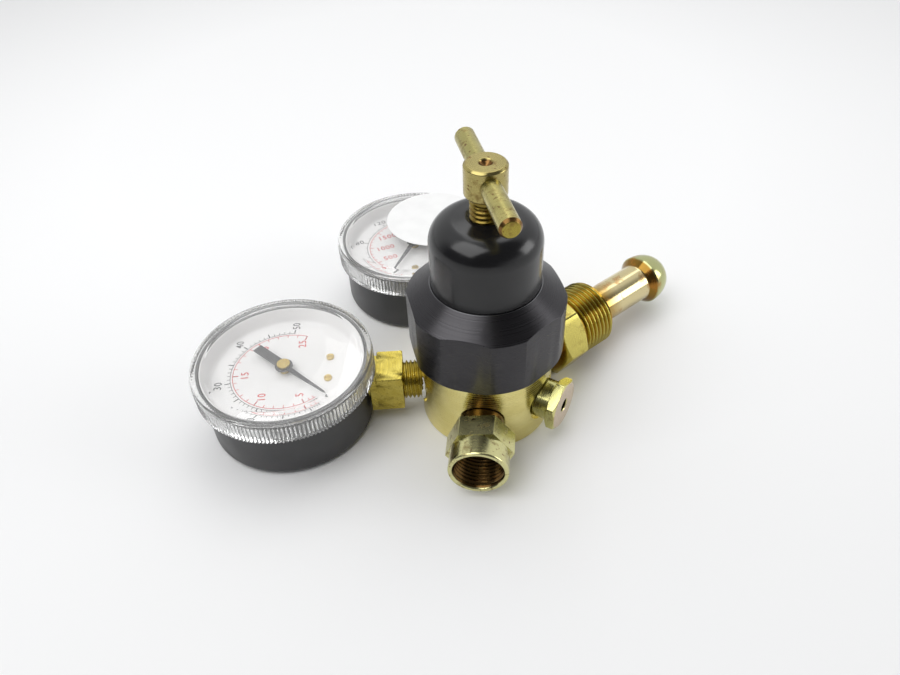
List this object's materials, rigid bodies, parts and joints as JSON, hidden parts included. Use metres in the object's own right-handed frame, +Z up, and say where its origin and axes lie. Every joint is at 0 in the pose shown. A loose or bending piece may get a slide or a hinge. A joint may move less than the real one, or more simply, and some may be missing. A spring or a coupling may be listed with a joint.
{
  "type": "gas flow regulator",
  "caption": "Compressed-gas flow regulator in brass with a black bonnet, tee-bar screw, cylinder inlet nut and nipple, hose outlet, relief valve and round dial gauges.",
  "frame": {"origin": "centre of the brass body's flat base, on the axis of the adjusting screw", "axes": "+Z up along the adjusting screw, away from the base; the ports lie in a plane parallel to XY 13 mm above the base, the flow gauge near -X and the outlet near -Y"},
  "size_m": [0.1728, 0.141, 0.0953],
  "materials": {
    "body_brass": "satin turned brass",
    "inner_brass": "machined brass",
    "stem_brass": "raw yellow brass",
    "nut_brass": "turned golden brass",
    "nipple_brass": "polished brass",
    "relief_brass": "bright brass",
    "tarnished_brass": "tarnished brass",
    "bonnet_black": "satin black",
    "ring_black": "dark anodised",
    "case_black": "gloss black enamel",
    "lens_clear": "clear moulded plastic",
    "dial_white": "printed white",
    "pointer_black": "matt black",
    "spring_steel": "drawn wire",
    "machined_steel": "machined",
    "diaphragm_rubber": "matt",
    "filter_bronze": "sintered",
    "tape_white": "stretched tape",
    "sticker_paper": "plain paper"
  },
  "bodies": {
    "body": {"regulator_body": "body_brass", "valve_seat": "inner_brass", "slip_ring": "inner_brass", "metering_orifice": "inner_brass", "flow_movement": "inner_brass", "cylinder_movement": "inner_brass", "flow_dial_screws": "inner_brass", "cylinder_dial_screws": "inner_brass", "flow_tube": "inner_brass", "cylinder_tube": "inner_brass", "flow_stem": "stem_brass", "cylinder_stem": "stem_brass", "inlet_nipple": "nipple_brass", "relief_body": "relief_brass", "outlet_fitting": "tarnished_brass", "bonnet": "bonnet_black", "ring_nut": "ring_black", "flow_case": "case_black", "cylinder_case": "case_black", "flow_lens": "lens_clear", "cylinder_lens": "lens_clear", "flow_dial": "dial_white", "cylinder_dial": "dial_white", "valve_spring": "spring_steel", "adjusting_spring": "spring_steel", "relief_spring": "spring_steel", "diaphragm": "diaphragm_rubber", "inlet_filter": "filter_bronze", "thread_tape": "tape_white", "round_sticker": "sticker_paper"},
    "button": {"spring_button": "machined_steel"},
    "screw": {"adjusting_screw": "tarnished_brass", "tee_bar": "tarnished_brass"},
    "valve": {"valve_poppet": "machined_steel", "diaphragm_plate": "machined_steel"},
    "swivel_nut": {"inlet_nut": "nut_brass"},
    "relief": {"relief_poppet": "machined_steel"},
    "flow_sector_body": {"flow_sector": "inner_brass"},
    "flow_pointer_body": {"flow_pointer": "pointer_black", "flow_arbor": "inner_brass"},
    "flow_link_body": {"flow_link": "machined_steel"},
    "cylinder_sector_body": {"cylinder_sector": "inner_brass"},
    "cylinder_pointer_body": {"cylinder_pointer": "pointer_black", "cylinder_arbor": "inner_brass"},
    "cylinder_link_body": {"cylinder_link": "machined_steel"}
  },
  "joints": [
    {"name": "screw_advance", "type": "slide", "parent": "body", "child": "button", "axis": [0, 0, -1], "range_m": [0, 0.00635], "deforming": ["adjusting_spring"]},
    {"name": "screw_turn", "type": "hinge", "parent": "button", "child": "screw", "pos_m": [0, 0, 0.09], "axis": [0, 0, -1], "range_deg": [0, 1440]},
    {"name": "valve_lift", "type": "slide", "parent": "body", "child": "valve", "axis": [0, 0, -1], "range_m": [0, 0.0012], "deforming": ["valve_spring", "diaphragm"]},
    {"name": "nut_spin", "type": "hinge", "parent": "body", "child": "swivel_nut", "pos_m": [0.02556, 0.01926, 0.013], "axis": [0.7986, 0.6018, 0], "continuous": true},
    {"name": "relief_lift", "type": "slide", "parent": "body", "child": "relief", "axis": [0.8434, -0.5373, 0], "range_m": [0, 0.0008], "stiffness_N_per_m": 500, "springref_m": -0.004, "deforming": ["relief_spring"]},
    {"name": "flow_sector_swing", "type": "hinge", "parent": "body", "child": "flow_sector_body", "pos_m": [-0.05734, -0.001, 0.0155], "axis": [0, 0, 1], "range_deg": [0, 31], "stiffness_Nm_per_rad": 0.0001, "deforming": ["flow_tube"]},
    {"name": "flow_pointer_turn", "type": "hinge", "parent": "body", "child": "flow_pointer_body", "pos_m": [-0.06814, -0.00119, 0.02], "axis": [0, 0, -1], "range_deg": [0, 248]},
    {"name": "flow_link_swing", "type": "hinge", "parent": "flow_sector_body", "child": "flow_link_body", "pos_m": [-0.05298, -0.00213, 0.0166], "axis": [0, 0, -1], "range_deg": [0, 22.48]},
    {"name": "cylinder_sector_swing", "type": "hinge", "parent": "body", "child": "cylinder_sector_body", "pos_m": [-0.02085, 0.05727, 0.0155], "axis": [0, 0, 1], "range_deg": [0, 34.5], "stiffness_Nm_per_rad": 0.0001, "deforming": ["cylinder_tube"]},
    {"name": "cylinder_pointer_turn", "type": "hinge", "parent": "body", "child": "cylinder_pointer_body", "pos_m": [-0.02454, 0.06742, 0.02], "axis": [0, 0, -1], "range_deg": [0, 276]},
    {"name": "cylinder_link_swing", "type": "hinge", "parent": "cylinder_sector_body", "child": "cylinder_link_body", "pos_m": [-0.02049, 0.05279, 0.0166], "axis": [0, 0, -1], "range_deg": [0, 25.02]}
  ],
  "couplings": [
    {"joint": "screw_advance", "follows": "screw_turn", "m_per_rad": 0.00025266},
    {"joint": "valve_lift", "follows": "screw_turn", "m_per_rad": 0.000047746},
    {"joint": "flow_pointer_turn", "follows": "flow_sector_swing", "ratio": 8},
    {"joint": "flow_link_swing", "follows": "flow_sector_swing", "ratio": 0.725},
    {"joint": "cylinder_pointer_turn", "follows": "cylinder_sector_swing", "ratio": 8},
    {"joint": "cylinder_link_swing", "follows": "cylinder_sector_swing", "ratio": 0.725}
  ]
}
